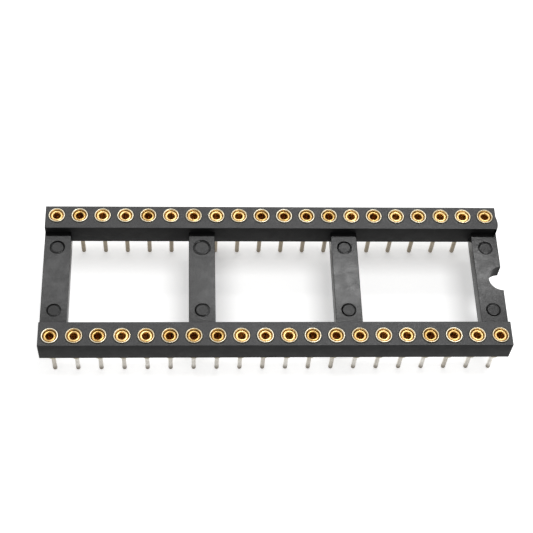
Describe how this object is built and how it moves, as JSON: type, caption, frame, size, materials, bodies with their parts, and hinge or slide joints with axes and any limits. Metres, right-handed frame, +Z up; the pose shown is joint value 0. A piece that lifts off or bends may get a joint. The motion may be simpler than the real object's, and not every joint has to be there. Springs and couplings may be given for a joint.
{
  "type": "dual in-line chip socket",
  "caption": "Open-frame dual in-line chip socket with turned contacts: holds a wide chip above a circuit board so that it can be changed without soldering.",
  "frame": {"origin": "middle of the contact pattern, on the plane of the board, where the sleeve shoulders sit", "axes": "+X along the rails towards the polarity notch, +Y to the back row, +Z up, the way the chip is lifted out"},
  "size_m": [0.051, 0.0176, 0.0076],
  "materials": {
    "frame_plastic": "black moulded polyester, satin, fine grain",
    "sleeve_gold": "turned brass with a thin gold flash, bright",
    "clip_gold": "gold-plated copper alloy spring"
  },
  "bodies": {
    "root": {"frame": "frame_plastic", "sleeve_front_01": "sleeve_gold", "sleeve_front_02": "sleeve_gold", "sleeve_front_03": "sleeve_gold", "sleeve_front_04": "sleeve_gold", "sleeve_front_05": "sleeve_gold", "sleeve_front_06": "sleeve_gold", "sleeve_front_07": "sleeve_gold", "sleeve_front_08": "sleeve_gold", "sleeve_front_09": "sleeve_gold", "sleeve_front_10": "sleeve_gold", "sleeve_front_11": "sleeve_gold", "sleeve_front_12": "sleeve_gold", "sleeve_front_13": "sleeve_gold", "sleeve_front_14": "sleeve_gold", "sleeve_front_15": "sleeve_gold", "sleeve_front_16": "sleeve_gold", "sleeve_front_17": "sleeve_gold", "sleeve_front_18": "sleeve_gold", "sleeve_front_19": "sleeve_gold", "sleeve_front_20": "sleeve_gold", "clips_front": "clip_gold", "sleeve_back_01": "sleeve_gold", "sleeve_back_02": "sleeve_gold", "sleeve_back_03": "sleeve_gold", "sleeve_back_04": "sleeve_gold", "sleeve_back_05": "sleeve_gold", "sleeve_back_06": "sleeve_gold", "sleeve_back_07": "sleeve_gold", "sleeve_back_08": "sleeve_gold", "sleeve_back_09": "sleeve_gold", "sleeve_back_10": "sleeve_gold", "sleeve_back_11": "sleeve_gold", "sleeve_back_12": "sleeve_gold", "sleeve_back_13": "sleeve_gold", "sleeve_back_14": "sleeve_gold", "sleeve_back_15": "sleeve_gold", "sleeve_back_16": "sleeve_gold", "sleeve_back_17": "sleeve_gold", "sleeve_back_18": "sleeve_gold", "sleeve_back_19": "sleeve_gold", "sleeve_back_20": "sleeve_gold", "clips_back": "clip_gold"}
  },
  "joints": []
}
